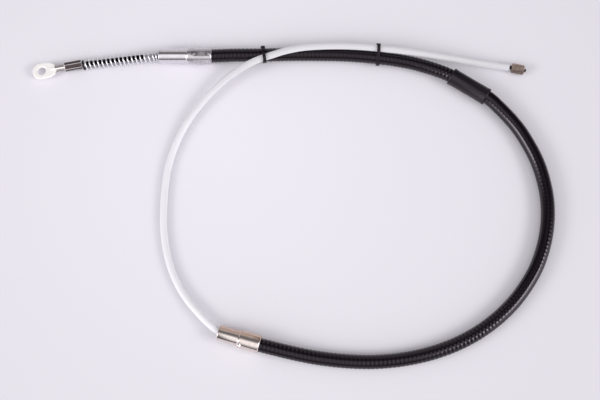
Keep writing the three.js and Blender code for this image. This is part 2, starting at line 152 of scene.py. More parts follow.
def turned(profile, steps, closed=True):
    """Straight stock along +X: (distance, radius) pairs spun about the X axis."""
    bm = bmesh.new()
    points = [bm.verts.new((along, 0, radius)) for along, radius in profile]
    following = points[1:] + points[:1] if closed else points[1:]
    edges = [bm.edges.new(pair) for pair in zip(points, following)]
    bmesh.ops.spin(
        bm, geom=points + edges, cent=(0, 0, 0), axis=(1, 0, 0), dvec=(0, 0, 0),
        angle=2 * math.pi, steps=steps, use_merge=True,
    )
    bmesh.ops.remove_doubles(bm, verts=bm.verts, dist=1e-6)
    bmesh.ops.recalc_face_normals(bm, faces=bm.faces)
    return bm


def keep_stock_place(bm):
    """Notes each point's place on the straight stock, for patterns that follow the surface."""
    stock = bm.verts.layers.float_vector.new("stock")
    for vert in bm.verts:
        vert[stock] = vert.co


def bend_along(bm, line):
    """Lays straight stock, which runs along +X from the origin, along the line."""
    step = length_of(line) / (len(line) - 1)
    normal = Vector((0, 0, 1))
    frames = []
    for i in range(len(line)):
        along = (line[min(i + 1, len(line) - 1)] - line[max(i - 1, 0)]).normalized()
        normal = (normal - along * normal.dot(along)).normalized()
        frames.append((along, along.cross(normal), normal))
    for vert in bm.verts:
        place = vert.co.x / step
        i = min(max(int(place), 0), len(line) - 2)
        part = place - i
        side = frames[i][1].lerp(frames[i + 1][1], part)
        up = frames[i][2].lerp(frames[i + 1][2], part)
        vert.co = line[i].lerp(line[i + 1], part) + side * -vert.co.y + up * vert.co.z


def add_piece(name, bm, material, crease=35):
    """Makes the finished mesh an object, smooth except where faces meet at more than the crease."""
    for face in bm.faces:
        face.smooth = True
    for edge in bm.edges:
        edge.smooth = edge.calc_face_angle(0) < math.radians(crease)
    mesh = bpy.data.meshes.new(name)
    bm.to_mesh(mesh)
    bm.free()
    mesh.materials.append(material)
    piece = bpy.data.objects.new(name, mesh)
    bpy.context.scene.collection.objects.link(piece)
    return piece


def grain_group():
    """Unevenness of a surface, broad clouds and a fine grain, as a mask and as a height."""
    tree = bpy.data.node_groups.new("grain", "ShaderNodeTree")
    tree.interface.new_socket("Vector", in_out="INPUT", socket_type="NodeSocketVector")
    tree.interface.new_socket("Cloud Scale", in_out="INPUT", socket_type="NodeSocketFloat")
    tree.interface.new_socket("Fine Scale", in_out="INPUT", socket_type="NodeSocketFloat")
    tree.interface.new_socket("Mask", in_out="OUTPUT", socket_type="NodeSocketFloat")
    tree.interface.new_socket("Height", in_out="OUTPUT", socket_type="NodeSocketFloat")
    given = tree.nodes.new("NodeGroupInput")
    result = tree.nodes.new("NodeGroupOutput")
    cloud = tree.nodes.new("ShaderNodeTexNoise")
    cloud.inputs["Detail"].default_value = 5
    cloud.inputs["Roughness"].default_value = 0.6
    fine = tree.nodes.new("ShaderNodeTexNoise")
    fine.inputs["Detail"].default_value = 3
    both = tree.nodes.new("ShaderNodeMath")
    both.operation = "MULTIPLY_ADD"
    both.inputs[1].default_value = 0.4
    stretch = tree.nodes.new("ShaderNodeMapRange")
    stretch.inputs["From Min"].default_value = 0.5
    stretch.inputs["From Max"].default_value = 0.9
    tree.links.new(given.outputs["Vector"], cloud.inputs["Vector"])
    tree.links.new(given.outputs["Vector"], fine.inputs["Vector"])
    tree.links.new(given.outputs["Cloud Scale"], cloud.inputs["Scale"])
    tree.links.new(given.outputs["Fine Scale"], fine.inputs["Scale"])
    tree.links.new(fine.outputs["Fac"], both.inputs[0])
    tree.links.new(cloud.outputs["Fac"], both.inputs[2])
    tree.links.new(both.outputs[0], stretch.inputs["Value"])
    tree.links.new(stretch.outputs["Result"], result.inputs["Mask"])
    tree.links.new(fine.outputs["Fac"], result.inputs["Height"])
    return tree


GRAIN = grain_group()


def new_finish(
    name, light, dark, roughness, metallic, cloud, fine, bump, stretch=(1, 1, 1), mirror=0.5,
    tint=(1, 1, 1),
):
    """A surface whose colour and roughness vary with its grain. Lengths are in metres."""
    material = bpy.data.materials.new(name)
    material.use_nodes = True
    nodes, links = material.node_tree.nodes, material.node_tree.links
    shader = nodes["Principled BSDF"]
    shader.inputs["Metallic"].default_value = metallic
    shader.inputs["Specular IOR Level"].default_value = mirror
    shader.inputs["Specular Tint"].default_value = (*tint, 1)
    stock = nodes.new("ShaderNodeAttribute")
    stock.attribute_name = "stock"
    scaled = nodes.new("ShaderNodeMapping")
    scaled.inputs["Scale"].default_value = stretch
    grain = nodes.new("ShaderNodeGroup")
    grain.node_tree = GRAIN
    grain.inputs["Cloud Scale"].default_value = 1 / cloud
    grain.inputs["Fine Scale"].default_value = 1 / fine
    colour = nodes.new("ShaderNodeMix")
    colour.data_type = "RGBA"
    colour.inputs["A"].default_value = (*dark, 1)
    colour.inputs["B"].default_value = (*light, 1)
    rough = nodes.new("ShaderNodeMapRange")
    rough.inputs["To Min"].default_value = roughness[1]
    rough.inputs["To Max"].default_value = roughness[0]
    relief = nodes.new("ShaderNodeBump")
    relief.inputs["Distance"].default_value = bump
    links.new(stock.outputs["Vector"], scaled.inputs["Vector"])
    links.new(scaled.outputs["Vector"], grain.inputs["Vector"])
    links.new(grain.outputs["Mask"], colour.inputs["Factor"])
    links.new(grain.outputs["Mask"], rough.inputs["Value"])
    links.new(grain.outputs["Height"], relief.inputs["Height"])
    links.new(colour.outputs["Result"], shader.inputs["Base Color"])
    links.new(rough.outputs["Result"], shader.inputs["Roughness"])
    links.new(relief.outputs["Normal"], shader.inputs["Normal"])
    return material


def pipe_profile(length, outer, inner, spacing):
    """Closed profile of a plain pipe with rings close enough together to bend."""
    count = max(round(length / spacing), 1)
    places = [length * i / count for i in range(count + 1)]
    return [(x, outer) for x in places] + [(x, inner) for x in reversed(places)]


def rib_height(distance):
    for (start, share), (end, next_share) in zip(RIB_SHARES, RIB_SHARES[1:]):
        if distance <= end:
            return RIB_HEIGHT * (share + (next_share - share) * (distance - start) / (end - start))


def ribbed_profile(length):
    """Closed profile of the conduit's skin: ribs outside, plain inside."""
    radius = CONDUIT_D / 2
    ribs = round(length / RIB_PITCH)
    pitch = length / ribs
    outside = [
        ((rib + part) * pitch, radius - rib_height((rib + part) * pitch) * (1 - rise))
        for rib in range(ribs) for part, rise in RIB_SHAPE
    ]
    outside.append((length, radius - rib_height(length)))
    inside = [(rib * pitch, radius - CONDUIT_WALL) for rib in range(0, ribs, 2)]
    return outside + [(length, radius - CONDUIT_WALL)] + inside[::-1]


conduit_line = smooth_line([
    station(WHEEL_PLACE, WHEEL_LENGTH - WHEEL_SOCKET + FIT_GAP),
    station(WHEEL_PLACE, WHEEL_LENGTH - WHEEL_SOCKET / 2),
    station(WHEEL_PLACE, WHEEL_LENGTH),
    *on_frame(CONDUIT_ROUTE),
    station(LEVER_PLACE, LEVER_LENGTH),
    station(LEVER_PLACE, LEVER_LENGTH - LEVER_SOCKET / 2),
    station(LEVER_PLACE, LEVER_LENGTH - LEVER_SOCKET + FIT_GAP),
])
black_skin = new_finish(
    "black_skin", light=(0.0042, 0.0026, 0.0048), dark=(0.0028, 0.0017, 0.0033), roughness=(0.15, 0.21),
    metallic=0, cloud=0.012, fine=0.0006, bump=0.000005, mirror=0.48, tint=(1, 0.88, 1),
)
skin = turned(ribbed_profile(length_of(conduit_line)), CONDUIT_SIDES)
keep_stock_place(skin)
bend_along(skin, conduit_line)
conduit = add_piece("conduit_skin", skin, black_skin)
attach(conduit, "conduit")
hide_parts("conduit_jacket")


# Coil and liner inside the conduit. The coil is flat steel wire wound close, and the liner is a
# plain plastic pipe that the wire rope slides in. Both are hidden, so the solids stay as they are.
def hidden_finish(name, light, dark, roughness, metallic, band):
    """Rings across the route, for the pieces that stay as solids."""
    material = bpy.data.materials.new(name)
    material.use_nodes = True
    nodes, links = material.node_tree.nodes, material.node_tree.links
    shader = nodes["Principled BSDF"]
    shader.inputs["Metallic"].default_value = metallic
    shader.inputs["Roughness"].default_value = roughness
    place = nodes.new("ShaderNodeTexCoord")
    rings = nodes.new("ShaderNodeTexNoise")
    rings.inputs["Scale"].default_value = 1 / band
    colour = nodes.new("ShaderNodeMix")
    colour.data_type = "RGBA"
    colour.inputs["A"].default_value = (*dark, 1)
    colour.inputs["B"].default_value = (*light, 1)
    links.new(place.outputs["Object"], rings.inputs["Vector"])
    links.new(rings.outputs["Fac"], colour.inputs["Factor"])
    links.new(colour.outputs["Result"], shader.inputs["Base Color"])
    return material


def dress(node, material):
    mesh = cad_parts[node].data
    mesh.materials.clear()
    mesh.materials.append(material)


dress("conduit_coil", hidden_finish("coil_steel", (0.32, 0.33, 0.34), (0.2, 0.2, 0.21), 0.4, 1, 0.002))
dress("conduit_liner", hidden_finish("liner_plastic", (0.8, 0.79, 0.74), (0.7, 0.69, 0.64), 0.4, 0, 0.006))


# Ferrule at the wheel end. Turned steel with a bright zinc plate: a plain spigot, then a collar
# that is pressed on the conduit with six flats round it.
SPIGOT_R = 0.006
COLLAR_R = 0.007
SOCKET_R = CONDUIT_D / 2 + FIT_GAP
SHOULDER = 0.0009
END_CHAMFER = 0.0006
LIP = 0.0007
WHEEL_SPIGOT = 0.0226
WHEEL_BORE_R = 0.0035
FLATS = 6
FLAT_START = 0.0294
FLAT_LENGTH = 0.0123
FLAT_DEPTH = 0.0004
FIRST_FLAT = math.radians(98)
FERRULE_STEPS = 120


def soften(bm, width, segments=2, angle=30):
    """Rounds every edge where faces meet at more than the angle."""
    sharp = [edge for edge in bm.edges if edge.calc_face_angle(0) > math.radians(angle)]
    bmesh.ops.bevel(
        bm, geom=sharp, offset=width, affect="EDGES", segments=segments, profile=0.5,
        material=-1, clamp_overlap=True,
    )


def ferrule_profile(length, spigot, bore, socket, extra):
    """Closed profile of a ferrule, with extra rings on the collar where it is pressed."""
    return [
        (0, bore), (0, SPIGOT_R - END_CHAMFER), (END_CHAMFER, SPIGOT_R),
        (spigot, SPIGOT_R), (spigot + SHOULDER, COLLAR_R),
        *((x, COLLAR_R) for x in extra),
        (length - LIP, COLLAR_R), (length, COLLAR_R - LIP), (length, SOCKET_R),
        (length - socket, SOCKET_R), (length - socket, bore),
    ]


def press_flats(bm):
    """Presses the collar flat on six sides, with a short slope at both ends of each flat."""
    end = FLAT_START + FLAT_LENGTH
    for vert in bm.verts:
        radius = math.hypot(vert.co.y, vert.co.z)
        if radius < COLLAR_R - 0.00005 or not FLAT_START - 1e-6 < vert.co.x < end + 1e-6:
            continue
        angle = math.atan2(vert.co.z, vert.co.y)
        turn = 2 * math.pi / FLATS
        nearest = FIRST_FLAT + round((angle - FIRST_FLAT) / turn) * turn
        height = radius * math.cos(angle - nearest)
        sink = max(height - (COLLAR_R - FLAT_DEPTH), 0)
        vert.co.y -= sink * math.cos(nearest)
        vert.co.z -= sink * math.sin(nearest)


def stock_axis(material, axis):
    """The place along one axis of the straight stock, for a pattern that follows the piece."""
    nodes, links = material.node_tree.nodes, material.node_tree.links
    stock = nodes.new("ShaderNodeAttribute")
    stock.attribute_name = "stock"
    split = nodes.new("ShaderNodeSeparateXYZ")
    links.new(stock.outputs["Vector"], split.inputs["Vector"])
    return split.outputs[axis]


def fade(material, value, start, end, low=0.0, high=1.0):
    """Goes from low to high as the value goes from start to end."""
    node = material.node_tree.nodes.new("ShaderNodeMapRange")
    node.inputs["From Min"].default_value = start
    node.inputs["From Max"].default_value = end
    node.inputs["To Min"].default_value = low
    node.inputs["To Max"].default_value = high
    material.node_tree.links.new(value, node.inputs["Value"])
    return node.outputs["Result"]


def combine(material, operation, *values):
    """Arithmetic on values of a material or of the room, each a socket or a plain number."""
    node = material.node_tree.nodes.new("ShaderNodeMath")
    node.operation = operation
    for value, entry in zip(values, node.inputs):
        if isinstance(value, float):
            entry.default_value = value
        else:
            material.node_tree.links.new(value, entry)
    return node.outputs[0]


def shade_colour(material, share):
    """Darkens a material's colour to a share of itself."""
    nodes, links = material.node_tree.nodes, material.node_tree.links
    colour = nodes["Principled BSDF"].inputs["Base Color"]
    shaded = nodes.new("ShaderNodeVectorMath")
    shaded.operation = "SCALE"
    links.new(colour.links[0].from_socket, shaded.inputs[0])
    links.new(share, shaded.inputs["Scale"])
    links.new(shaded.outputs["Vector"], colour)


def cover_colour(material, amount, cover, blend="MIX"):
    """Lays another colour over a material's own, by the given amount."""
    nodes, links = material.node_tree.nodes, material.node_tree.links
    colour = nodes["Principled BSDF"].inputs["Base Color"]
    covered = nodes.new("ShaderNodeMix")
    covered.data_type = "RGBA"
    covered.blend_type = blend
    covered.inputs["B"].default_value = (*cover, 1)
    links.new(amount, covered.inputs["Factor"])
    links.new(colour.links[0].from_socket, covered.inputs["A"])
    links.new(covered.outputs["Result"], colour)


def change_roughness(material, operation, value):
    """Changes a material's roughness by arithmetic with a value."""
    rough = material.node_tree.nodes["Principled BSDF"].inputs["Roughness"]
    changed = combine(material, operation, rough.links[0].from_socket, value)
    material.node_tree.links.new(changed, rough)


SLOPE = 0.0003
flat_end = FLAT_START + FLAT_LENGTH
rings = [FLAT_START - SLOPE, FLAT_START, (FLAT_START + flat_end) / 2, flat_end, flat_end + SLOPE]
zinc_plate = new_finish(
    "zinc_plate", light=(0.82, 0.8, 0.83), dark=(0.7, 0.68, 0.71), roughness=(0.08, 0.13),
    metallic=1, cloud=0.004, fine=0.0004, bump=0.000002, stretch=(3, 1, 1),
)
# The jaws of the press leave the collar duller than the turned spigot
PRESSED_FROM = FLAT_START - 0.0052
PRESSED_FULLY = FLAT_START - 0.0046
pressed = fade(zinc_plate, stock_axis(zinc_plate, "X"), PRESSED_FROM, PRESSED_FULLY)
change_roughness(zinc_plate, "ADD", fade(zinc_plate, pressed, 0, 1, 0.0, 0.17))
shade_colour(zinc_plate, fade(zinc_plate, pressed, 0, 1, 1.0, 0.84))

body = turned(ferrule_profile(WHEEL_LENGTH, WHEEL_SPIGOT, WHEEL_BORE_R, WHEEL_SOCKET, rings), FERRULE_STEPS)
soften(body, 0.00015)
press_flats(body)
keep_stock_place(body)
body.transform(placement(WHEEL_PLACE))
wheel_ferrule = add_piece("wheel_ferrule", body, zinc_plate)
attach(wheel_ferrule, "conduit")
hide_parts("wheel_end_ferrule")


# Ferrule at the lever end. The same form, shorter, with a warm nickel plate; its collar is held by
# one round dent at the shoulder, and the guide tube is pushed into its mouth.
LEVER_SPIGOT = 0.0164
LEVER_BORE_R = 0.0046
LEVER_BORE_DEPTH = 0.0152
WIRE_HOLE_R = 0.0021
DENT_R = 0.0042
DENT_DEPTH = 0.0008
DENT_ANGLE = math.radians(134)


def press_dent(bm):
    """Pushes a round punch into the shoulder."""
    reach = COLLAR_R + DENT_R - DENT_DEPTH
    punch = Vector((LEVER_SPIGOT + SHOULDER, reach * math.cos(DENT_ANGLE), reach * math.sin(DENT_ANGLE)))
    for vert in bm.verts:
        away = vert.co - punch
        if away.length < DENT_R and math.hypot(vert.co.y, vert.co.z) > SOCKET_R + 0.0001:
            vert.co = punch + away.normalized() * DENT_R


nickel_plate = new_finish(
    "nickel_plate", light=(0.84, 0.76, 0.72), dark=(0.74, 0.66, 0.62), roughness=(0.13, 0.19),
    metallic=1, cloud=0.004, fine=0.0004, bump=0.000002, stretch=(3, 1, 1),
)
# One side is tarnished brown
TARNISH = (0.0012, 0.0028)
tarnished = fade(nickel_plate, stock_axis(nickel_plate, "Y"), *TARNISH)
cover_colour(nickel_plate, tarnished, (0.8, 0.66, 0.57), "MULTIPLY")
collar_rings = [LEVER_SPIGOT + SHOULDER + 0.0002 + 0.00025 * i for i in range(18)]
spigot_rings = [LEVER_SPIGOT - 0.0045 + 0.00025 * i for i in range(18)]
profile = [
    (0, LEVER_BORE_R), (0, SPIGOT_R - END_CHAMFER), (END_CHAMFER, SPIGOT_R),
    *((x, SPIGOT_R) for x in spigot_rings),
    (LEVER_SPIGOT, SPIGOT_R), (LEVER_SPIGOT + SHOULDER, COLLAR_R),
    *((x, COLLAR_R) for x in collar_rings),
    (LEVER_LENGTH - LIP, COLLAR_R), (LEVER_LENGTH, COLLAR_R - LIP), (LEVER_LENGTH, SOCKET_R),
    (LEVER_LENGTH - LEVER_SOCKET, SOCKET_R), (LEVER_LENGTH - LEVER_SOCKET, WIRE_HOLE_R),
    (LEVER_BORE_DEPTH, WIRE_HOLE_R), (LEVER_BORE_DEPTH, LEVER_BORE_R),
]
body = turned(profile, FERRULE_STEPS)
soften(body, 0.00015)
press_dent(body)
keep_stock_place(body)
body.transform(placement(LEVER_PLACE))
lever_ferrule = add_piece("lever_ferrule", body, nickel_plate)
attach(lever_ferrule, "conduit")
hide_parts("lever_end_ferrule")


# Guide tube. White extruded plastic, pushed into the lever ferrule at one end; it passes over the
# conduit's top run and ends just short of the nipple.
END_PLACE = ((0.1813, 0.1129, 0.0042), math.radians(-12.5))
TUBE_R = 0.00275
TUBE_BORE_R = 0.00195
TUBE_SEAT = 0.001
NIPPLE_GAP = 0.0019
TUBE_EXIT = [(0.01, 0), (0.006, 0.00015), (0.003, 0.00055), (0, 0.00125), (-0.0045, 0.0027)]
TUBE_ROUTE = [
    (-0.0603, -0.0979, 0.0064), (-0.0680, -0.0900, 0.0055), (-0.0770, -0.0795, 0.0045),
    (-0.0850, -0.0670, 0.0035), (-0.0914, -0.0525, 0.0030), (-0.0958, -0.0355, 0.0028),
    (-0.0979, -0.0190, 0.0028), (-0.0982, -0.0030, 0.0028), (-0.0975, 0.0130, 0.0028),
    (-0.0956, 0.0285, 0.0029), (-0.0916, 0.0430, 0.0033), (-0.0857, 0.0575, 0.0040),
    (-0.0778, 0.0713, 0.0050), (-0.0683, 0.0840, 0.0062), (-0.0585, 0.0946, 0.0076),
    (-0.0488, 0.1030, 0.0092), (-0.0390, 0.1096, 0.0108), (-0.0296, 0.1144, 0.0124),
    (-0.0207, 0.1176, 0.0138), (-0.0134, 0.1196, 0.0148), (-0.0056, 0.1221, 0.0154),
    (0.0088, 0.1256, 0.0150), (0.0250, 0.1273, 0.0144), (0.0414, 0.1278, 0.0140),
    (0.0576, 0.1272, 0.0139), (0.0724, 0.1258, 0.0140), (0.0900, 0.1241, 0.0134),
    (0.1063, 0.1224, 0.0116), (0.1227, 0.1204, 0.0096), (0.1391, 0.1182, 0.0078),
    (0.1555, 0.1160, 0.0061), (0.1640, 0.1150, 0.0052), (0.1725, 0.1141, 0.0044),
]

tube_line = smooth_line([
    station(LEVER_PLACE, LEVER_BORE_DEPTH - TUBE_SEAT),
    *(station(LEVER_PLACE, along, side) for along, side in TUBE_EXIT),
    *on_frame(TUBE_ROUTE),
    station(END_PLACE, -NIPPLE_GAP),
])
white_tube = new_finish(
    "white_tube", light=(0.85, 0.84, 0.875), dark=(0.83, 0.82, 0.855), roughness=(0.3, 0.38),
    metallic=0, cloud=0.02, fine=0.0008, bump=0.000005, mirror=0.3,
)
# Painted shade darkens it from the conduit on; painted light makes its wall lighter seen edgewise
PAINTED_SHADE_SPAN = (0.18, 0.26)
# Painted shade: from this stretch on, the tube's colour is lowered to a share of itself
shade_colour(white_tube, fade(white_tube, stock_axis(white_tube, "X"), *PAINTED_SHADE_SPAN, 1.0, 0.77))
# Painted light: the wall is made nearly white where it is seen edgewise
facing_for_painted_light = white_tube.node_tree.nodes.new("ShaderNodeLayerWeight")
cover_colour(white_tube, facing_for_painted_light.outputs["Facing"], (0.95, 0.94, 0.97))


def pass_light(material, share):
    """Lets a share of the light through a piece, so that its shadow is faint."""
    nodes, links = material.node_tree.nodes, material.node_tree.links
    path = nodes.new("ShaderNodeLightPath")
    unseen = combine(material, "MAXIMUM", path.outputs["Is Shadow Ray"], path.outputs["Is Diffuse Ray"])
    solid = fade(material, unseen, 0, 1, 1.0, 1 - share)
    links.new(solid, nodes["Principled BSDF"].inputs["Alpha"])


pass_light(white_tube, 0.6)
pipe = turned(pipe_profile(length_of(tube_line), TUBE_R, TUBE_BORE_R, 0.003), 28)
soften(pipe, 0.0002)
keep_stock_place(pipe)
bend_along(pipe, tube_line)
guide_tube = add_piece("guide_tube_pipe", pipe, white_tube)
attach(guide_tube, "conduit")
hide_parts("guide_tube")


# Rubber sleeve. A short length of thick black hose pushed over the conduit, where it passes through
# a clip on the car's floor; its cut ends are slightly flared.
SLEEVE_PLACE = ((0.1456, 0.0953, 0.0071), math.radians(-32.9))
SLEEVE_R = 0.0071
SLEEVE_LENGTH = 0.0335
half = SLEEVE_LENGTH / 2
flare = 0.00025
profile = [
    (-half, SOCKET_R), (-half, SLEEVE_R), (-half + 0.0012, SLEEVE_R), (-half + 0.003, SLEEVE_R - flare),
    (0, SLEEVE_R - flare * 1.3),
    (half - 0.003, SLEEVE_R - flare), (half - 0.0012, SLEEVE_R), (half, SLEEVE_R), (half, SOCKET_R),
]
sleeve_rubber = new_finish(
    "sleeve_rubber", light=(0.006, 0.0042, 0.0064), dark=(0.0035, 0.0024, 0.004), roughness=(0.28, 0.38),
    metallic=0, cloud=0.006, fine=0.0005, bump=0.00002, mirror=0.5, tint=(1, 0.88, 1),
)
sleeve = turned(profile, 64)
soften(sleeve, 0.0004, segments=3, angle=50)
keep_stock_place(sleeve)
sleeve.transform(placement(SLEEVE_PLACE))
rubber_sleeve = add_piece("rubber_hose_sleeve", sleeve, sleeve_rubber, crease=50)
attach(rubber_sleeve, "conduit")
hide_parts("rubber_sleeve")


# Return spring. Bright galvanised wire coiled with one closed turn at each end; it is held between
# the crimp sleeve and the ferrule's mouth, and sags a little off the wire rope.
EYE_PLACE = ((-0.1687, 0.116, 0.0045), math.radians(191.2))
WIRE_MOUTH = Vector((-0.1061, 0.1229, 0.007)) + TO_BOX_MIDDLE
SPRING_WIRE_R = 0.0006
SPRING_R = 0.00425
SPRING_PITCH = 0.00345
CLOSED_PITCH = 0.00135
SPRING_END_GAP = 0.0004
SPRING_SAG = Vector((0.0001, -0.00095, -0.00025))

rope_start = station(EYE_PLACE, 0)
rope_run = WIRE_MOUTH - rope_start
rope_axis = rope_run.normalized()


def helix_line():
    """The spring wire's centreline, turn by turn."""
    side = Vector((0, 0, 1)).cross(rope_axis).normalized()
    up = rope_axis.cross(side)
    length = rope_run.length - 2 * SPRING_END_GAP - 2 * SPRING_WIRE_R
    open_turns = (length - 2 * CLOSED_PITCH) / SPRING_PITCH
    turns = open_turns + 2
    steps = round(turns * 48)
    line = []
    for i in range(steps + 1):
        turn = turns * i / steps
        opened = min(max(turn - 1, 0), open_turns)
        advance = turn * CLOSED_PITCH + opened * (SPRING_PITCH - CLOSED_PITCH)
        angle = turn * 2 * math.pi
        across = side * math.cos(angle) + up * math.sin(angle)
        along = SPRING_END_GAP + SPRING_WIRE_R + advance
        line.append(
            rope_start + SPRING_SAG + rope_axis * along + across * (SPRING_R - SPRING_WIRE_R)
        )
    return evenly(line, 0.0004)


galvanised_wire = new_finish(
    "galvanised_wire", light=(0.93, 0.93, 0.95), dark=(0.8, 0.8, 0.83), roughness=(0.28, 0.38),
    metallic=0.75, cloud=0.003, fine=0.0003, bump=0.000005, stretch=(1, 4, 4),
)
line = helix_line()
wire_length = length_of(line)
# The closed end turns are painted dark, as painted shade
END_TURN = 0.024
LAST_PIECE = 0.006
SHADE_FADE = 0.002
wire_place = stock_axis(galvanised_wire, "X")
first = fade(galvanised_wire, wire_place, END_TURN + SHADE_FADE, END_TURN)
last = fade(galvanised_wire, wire_place, wire_length - LAST_PIECE - SHADE_FADE, wire_length - LAST_PIECE)
# Painted shade on the first and last turns
cover_colour(galvanised_wire, combine(galvanised_wire, "MAXIMUM", first, last), (0.03, 0.027, 0.03))

count = round(wire_length / 0.0007)
profile = [(0, 0), *((wire_length * i / count, SPRING_WIRE_R) for i in range(count + 1)), (wire_length, 0)]
coil = turned(profile, 12, closed=False)
keep_stock_place(coil)
bend_along(coil, line)
spring = add_piece("return_spring_wire", coil, galvanised_wire)
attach(spring, "conduit")
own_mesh(spring)
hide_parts("return_spring")


# Guard sleeve. A thin black plastic pipe slid over the wire rope, so that the spring doesn't rub on
# it; it moves with the eye and passes into the ferrule as the spring is pressed.
GUARD_START = 0.0038
GUARD_LENGTH = 0.0467
GUARD_R = 0.00185
GUARD_BORE_R = 0.0015
guard_plastic = new_finish(
    "guard_plastic", light=(0.003, 0.0025, 0.003), dark=(0.0015, 0.0012, 0.0015), roughness=(0.5, 0.65),
    metallic=0, cloud=0.004, fine=0.0005, bump=0.00001, mirror=0.08,
)


def along_rope(distance):
    """Moves stock from the origin to that distance along the wire rope's straight run."""
    turn = Vector((1, 0, 0)).rotation_difference(rope_axis).to_matrix().to_4x4()
    return Matrix.Translation(rope_start + rope_axis * distance) @ turn


pipe = turned(pipe_profile(GUARD_LENGTH, GUARD_R, GUARD_BORE_R, 0.004), 32)
soften(pipe, 0.0001)
keep_stock_place(pipe)
pipe.transform(along_rope(GUARD_START))
guard = add_piece("wire_guard_pipe", pipe, guard_plastic)
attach(guard, "eye_end")
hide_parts("wire_guard_sleeve")


# Crimp sleeve. A steel bush with a dark phosphate, pressed to a hexagon over the wire rope at one
# end and the eye's shank at the other.
CRIMP_LENGTH = 0.0144
CRIMP_FLAT_R = 0.0032
CRIMP_BEVEL = 0.0004
SHANK_R = 0.0023
SHANK_START = 0.0086
ROPE_R = 0.0014
dark_phosphate = new_finish(
    "dark_phosphate", light=(0.14, 0.105, 0.105), dark=(0.028, 0.02, 0.022), roughness=(0.26, 0.42),
    metallic=0.9, cloud=0.0013, fine=0.0003, bump=0.00002, stretch=(0.2, 2, 2),
)
# Painted highlights: light bare-steel colour along the pressed edges and round both ends
EDGE_HIGHLIGHT = (0.00354, 0.00362)
END_HIGHLIGHT = (CRIMP_LENGTH / 2 - 0.0006, CRIMP_LENGTH / 2 - 0.0003)
square_y = combine(dark_phosphate, "MULTIPLY", *[stock_axis(dark_phosphate, "Y")] * 2)
square_z = combine(dark_phosphate, "MULTIPLY", *[stock_axis(dark_phosphate, "Z")] * 2)
from_axis = combine(dark_phosphate, "SQRT", combine(dark_phosphate, "ADD", square_y, square_z))
edge_highlight = fade(dark_phosphate, from_axis, *EDGE_HIGHLIGHT)
from_middle = combine(dark_phosphate, "SUBTRACT", stock_axis(dark_phosphate, "X"), CRIMP_LENGTH / 2)
end_highlight = fade(dark_phosphate, combine(dark_phosphate, "ABSOLUTE", from_middle), *END_HIGHLIGHT)
# Painted highlight colour laid on the edges and the ends
cover_colour(dark_phosphate, combine(dark_phosphate, "MAXIMUM", edge_highlight, end_highlight), (0.75, 0.72, 0.73))


def press_hexagon(bm):
    """Presses the round outside to a hexagon with one edge upwards."""
    for vert in bm.verts:
        radius = math.hypot(vert.co.y, vert.co.z)
        if radius > CRIMP_FLAT_R - 0.0005:
            angle = math.atan2(vert.co.y, vert.co.z)
            from_flat = (angle % (math.pi / 3)) - math.pi / 6
            share = 1 / math.cos(from_flat) * radius / CRIMP_FLAT_R
            vert.co.y *= share * CRIMP_FLAT_R / radius
            vert.co.z *= share * CRIMP_FLAT_R / radius


wire_bore = ROPE_R + FIT_GAP
shank_bore = SHANK_R + FIT_GAP
profile = [
    (0, wire_bore), (0, CRIMP_FLAT_R - CRIMP_BEVEL), (CRIMP_BEVEL, CRIMP_FLAT_R),
    (CRIMP_LENGTH - CRIMP_BEVEL, CRIMP_FLAT_R), (CRIMP_LENGTH, CRIMP_FLAT_R - CRIMP_BEVEL),
    (CRIMP_LENGTH, shank_bore), (SHANK_START - FIT_GAP, shank_bore), (SHANK_START - FIT_GAP, wire_bore),
]
bush = turned(profile, 48)
press_hexagon(bush)
soften(bush, 0.00018, segments=2, angle=25)
keep_stock_place(bush)
bush.transform(placement(EYE_PLACE))
crimp = add_piece("crimp_bush", bush, dark_phosphate)
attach(crimp, "eye_end")
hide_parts("crimp_sleeve")


# Eye. One steel forging with a bright plate: a round shank that flattens into a pear-shaped eye,
# with the edges and the pin hole bevelled.
EYE_HOLE_R = 0.0035
EYE_THICKNESS = 0.0026
EYE_BEVEL = 0.0005
EYE_AT = 0.033
EYE_OUTLINE = [
    (0.0073, 0), (0.0069, 0.0025), (0.0053, 0.0049), (0.0028, 0.0063), (-0.0004, 0.0067),
    (-0.0038, 0.0065), (-0.0068, 0.006), (-0.009, 0.0051), (-0.0108, 0.0036), (-0.012, 0.002),
]
NECK_AT = EYE_AT - 0.011
eye_plate = new_finish(
    "eye_plate", light=(1.0, 0.985, 0.955), dark=(0.96, 0.94, 0.91), roughness=(0.4, 0.5),
    metallic=0.15, cloud=0.003, fine=0.0003, bump=0.000005,
)
# The flat eye is blasted and plated; the shank is turned smooth, with painted brown shade at its sides
TURNED_FROM = NECK_AT + 0.0005
TURNED_FULLY = NECK_AT - 0.0005
smooth = fade(eye_plate, stock_axis(eye_plate, "X"), TURNED_FROM, TURNED_FULLY)
steel = fade(eye_plate, smooth, 0, 1, 0.15, 1.0)
eye_plate.node_tree.links.new(steel, eye_plate.node_tree.nodes["Principled BSDF"].inputs["Metallic"])
change_roughness(eye_plate, "MULTIPLY", fade(eye_plate, smooth, 0, 1, 1.0, 0.28))
# Painted shade: the shank's sides are browned where they are seen edgewise
facing_for_painted_light = eye_plate.node_tree.nodes.new("ShaderNodeLayerWeight")
rim = fade(eye_plate, facing_for_painted_light.outputs["Facing"], 0.1, 0.45)
cover_colour(eye_plate, combine(eye_plate, "MULTIPLY", rim, smooth), (0.22, 0.15, 0.12))


